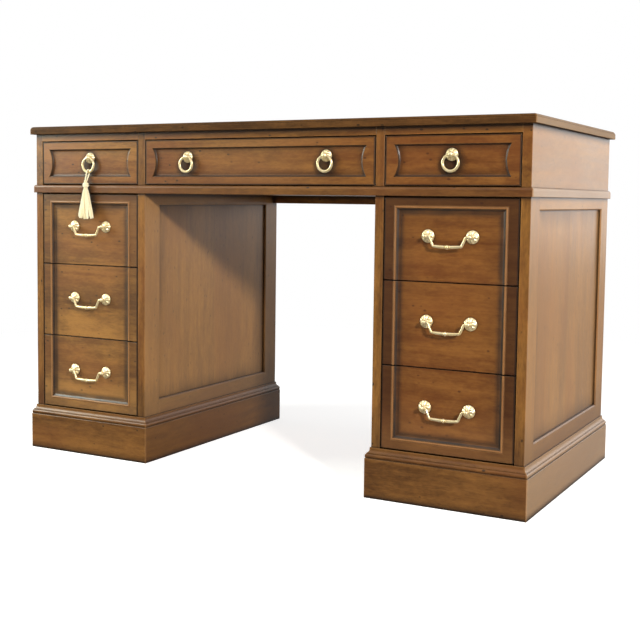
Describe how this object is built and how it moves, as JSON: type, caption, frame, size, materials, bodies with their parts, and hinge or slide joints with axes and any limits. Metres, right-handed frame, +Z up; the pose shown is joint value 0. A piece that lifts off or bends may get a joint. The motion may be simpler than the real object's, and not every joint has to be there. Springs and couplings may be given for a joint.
{
  "type": "pedestal desk",
  "caption": "Wooden pedestal desk with a kneehole, moulded top, framed sides, sliding drawers, brass bail and ring pulls and a small tassel.",
  "frame": {"origin": "on the floor, under the middle of the whole desk with its pulls and tassel", "axes": "+X across the desk to the right as seen from the front, the front faces -Y, +Z up"},
  "size_m": [1.22, 0.6202, 0.762],
  "materials": {
    "case_wood": "satin lacquer",
    "inner_wood": "sealed",
    "drawer_wood": "sealed",
    "brass": "polished",
    "tassel_thread": "silky thread"
  },
  "bodies": {
    "carcass": {"desk_top_panel": "case_wood", "desk_top_edging": "case_wood", "frieze_ends": "case_wood", "frieze_dividers": "case_wood", "frieze_back": "case_wood", "frieze_front_rails": "case_wood", "frieze_bottom_board": "case_wood", "waist_moulding": "case_wood", "kneehole_rear_rail": "case_wood", "pedestal_stiles": "case_wood", "pedestal_side_rails": "case_wood", "pedestal_side_panels": "case_wood", "pedestal_backs": "inner_wood", "pedestal_bottoms": "inner_wood", "pedestal_tie_rails": "inner_wood", "drawer_runners": "inner_wood", "plinth_boards": "case_wood", "plinth_cap_mouldings": "case_wood", "plinth_corner_blocks": "inner_wood"},
    "left_upper_drawer": {"left_upper_drawer_front": "case_wood", "left_upper_drawer_box": "drawer_wood", "left_upper_pull_posts": "brass"},
    "left_upper_bail": {"left_upper_pull_bail": "brass"},
    "left_middle_drawer": {"left_middle_drawer_front": "case_wood", "left_middle_drawer_box": "drawer_wood", "left_middle_pull_posts": "brass"},
    "left_middle_bail": {"left_middle_pull_bail": "brass"},
    "left_lower_drawer": {"left_lower_drawer_front": "case_wood", "left_lower_drawer_box": "drawer_wood", "left_lower_pull_posts": "brass"},
    "left_lower_bail": {"left_lower_pull_bail": "brass"},
    "right_upper_drawer": {"right_upper_drawer_front": "case_wood", "right_upper_drawer_box": "drawer_wood", "right_upper_pull_posts": "brass"},
    "right_upper_bail": {"right_upper_pull_bail": "brass"},
    "right_middle_drawer": {"right_middle_drawer_front": "case_wood", "right_middle_drawer_box": "drawer_wood", "right_middle_pull_posts": "brass"},
    "right_middle_bail": {"right_middle_pull_bail": "brass"},
    "right_lower_drawer": {"right_lower_drawer_front": "case_wood", "right_lower_drawer_box": "drawer_wood", "right_lower_pull_posts": "brass"},
    "right_lower_bail": {"right_lower_pull_bail": "brass"},
    "frieze_left_drawer": {"frieze_left_drawer_front": "case_wood", "frieze_left_drawer_box": "drawer_wood", "frieze_left_ring_posts": "brass"},
    "left_ring": {"frieze_left_ring": "brass"},
    "frieze_centre_drawer": {"frieze_centre_drawer_front": "case_wood", "frieze_centre_drawer_box": "drawer_wood", "frieze_centre_ring_posts": "brass"},
    "centre_left_ring": {"frieze_centre_left_ring": "brass"},
    "centre_right_ring": {"frieze_centre_right_ring": "brass"},
    "frieze_right_drawer": {"frieze_right_drawer_front": "case_wood", "frieze_right_drawer_box": "drawer_wood", "frieze_right_ring_posts": "brass"},
    "right_ring": {"frieze_right_ring": "brass"},
    "tassel": {"tassel_cord": "tassel_thread", "tassel_head": "tassel_thread", "tassel_skirt": "tassel_thread"}
  },
  "joints": [
    {"name": "left_upper_drawer_slide", "type": "slide", "parent": "carcass", "child": "left_upper_drawer", "axis": [0, -1, 0], "range_m": [0, 0.35]},
    {"name": "left_upper_bail_hinge", "type": "hinge", "parent": "left_upper_drawer", "child": "left_upper_bail", "pos_m": [-0.441, -0.30135, 0.53125], "axis": [-1, 0, 0], "range_deg": [-30, 95]},
    {"name": "left_middle_drawer_slide", "type": "slide", "parent": "carcass", "child": "left_middle_drawer", "axis": [0, -1, 0], "range_m": [0, 0.35]},
    {"name": "left_middle_bail_hinge", "type": "hinge", "parent": "left_middle_drawer", "child": "left_middle_bail", "pos_m": [-0.441, -0.30135, 0.36438], "axis": [-1, 0, 0], "range_deg": [-30, 95]},
    {"name": "left_lower_drawer_slide", "type": "slide", "parent": "carcass", "child": "left_lower_drawer", "axis": [0, -1, 0], "range_m": [0, 0.35]},
    {"name": "left_lower_bail_hinge", "type": "hinge", "parent": "left_lower_drawer", "child": "left_lower_bail", "pos_m": [-0.441, -0.30135, 0.19512], "axis": [-1, 0, 0], "range_deg": [-30, 95]},
    {"name": "right_upper_drawer_slide", "type": "slide", "parent": "carcass", "child": "right_upper_drawer", "axis": [0, -1, 0], "range_m": [0, 0.35]},
    {"name": "right_upper_bail_hinge", "type": "hinge", "parent": "right_upper_drawer", "child": "right_upper_bail", "pos_m": [0.441, -0.30135, 0.53125], "axis": [-1, 0, 0], "range_deg": [-30, 95]},
    {"name": "right_middle_drawer_slide", "type": "slide", "parent": "carcass", "child": "right_middle_drawer", "axis": [0, -1, 0], "range_m": [0, 0.35]},
    {"name": "right_middle_bail_hinge", "type": "hinge", "parent": "right_middle_drawer", "child": "right_middle_bail", "pos_m": [0.441, -0.30135, 0.36438], "axis": [-1, 0, 0], "range_deg": [-30, 95]},
    {"name": "right_lower_drawer_slide", "type": "slide", "parent": "carcass", "child": "right_lower_drawer", "axis": [0, -1, 0], "range_m": [0, 0.35]},
    {"name": "right_lower_bail_hinge", "type": "hinge", "parent": "right_lower_drawer", "child": "right_lower_bail", "pos_m": [0.441, -0.30135, 0.19512], "axis": [-1, 0, 0], "range_deg": [-30, 95]},
    {"name": "frieze_left_drawer_slide", "type": "slide", "parent": "carcass", "child": "frieze_left_drawer", "axis": [0, -1, 0], "range_m": [0, 0.35]},
    {"name": "left_ring_hinge", "type": "hinge", "parent": "frieze_left_drawer", "child": "left_ring", "pos_m": [-0.441, -0.29285, 0.68845], "axis": [-1, 0, 0], "range_deg": [0, 95]},
    {"name": "frieze_centre_drawer_slide", "type": "slide", "parent": "carcass", "child": "frieze_centre_drawer", "axis": [0, -1, 0], "range_m": [0, 0.35]},
    {"name": "centre_left_ring_hinge", "type": "hinge", "parent": "frieze_centre_drawer", "child": "centre_left_ring", "pos_m": [-0.17, -0.29285, 0.68845], "axis": [-1, 0, 0], "range_deg": [-8, 95]},
    {"name": "centre_right_ring_hinge", "type": "hinge", "parent": "frieze_centre_drawer", "child": "centre_right_ring", "pos_m": [0.17, -0.29285, 0.68845], "axis": [-1, 0, 0], "range_deg": [-8, 95]},
    {"name": "frieze_right_drawer_slide", "type": "slide", "parent": "carcass", "child": "frieze_right_drawer", "axis": [0, -1, 0], "range_m": [0, 0.35]},
    {"name": "right_ring_hinge", "type": "hinge", "parent": "frieze_right_drawer", "child": "right_ring", "pos_m": [0.441, -0.29285, 0.68845], "axis": [-1, 0, 0], "range_deg": [-8, 95]},
    {"name": "tassel_swing", "type": "hinge", "parent": "left_ring", "child": "tassel", "pos_m": [-0.441, -0.29285, 0.65645], "axis": [-1, 0, 0], "range_deg": [0, 80]}
  ]
}
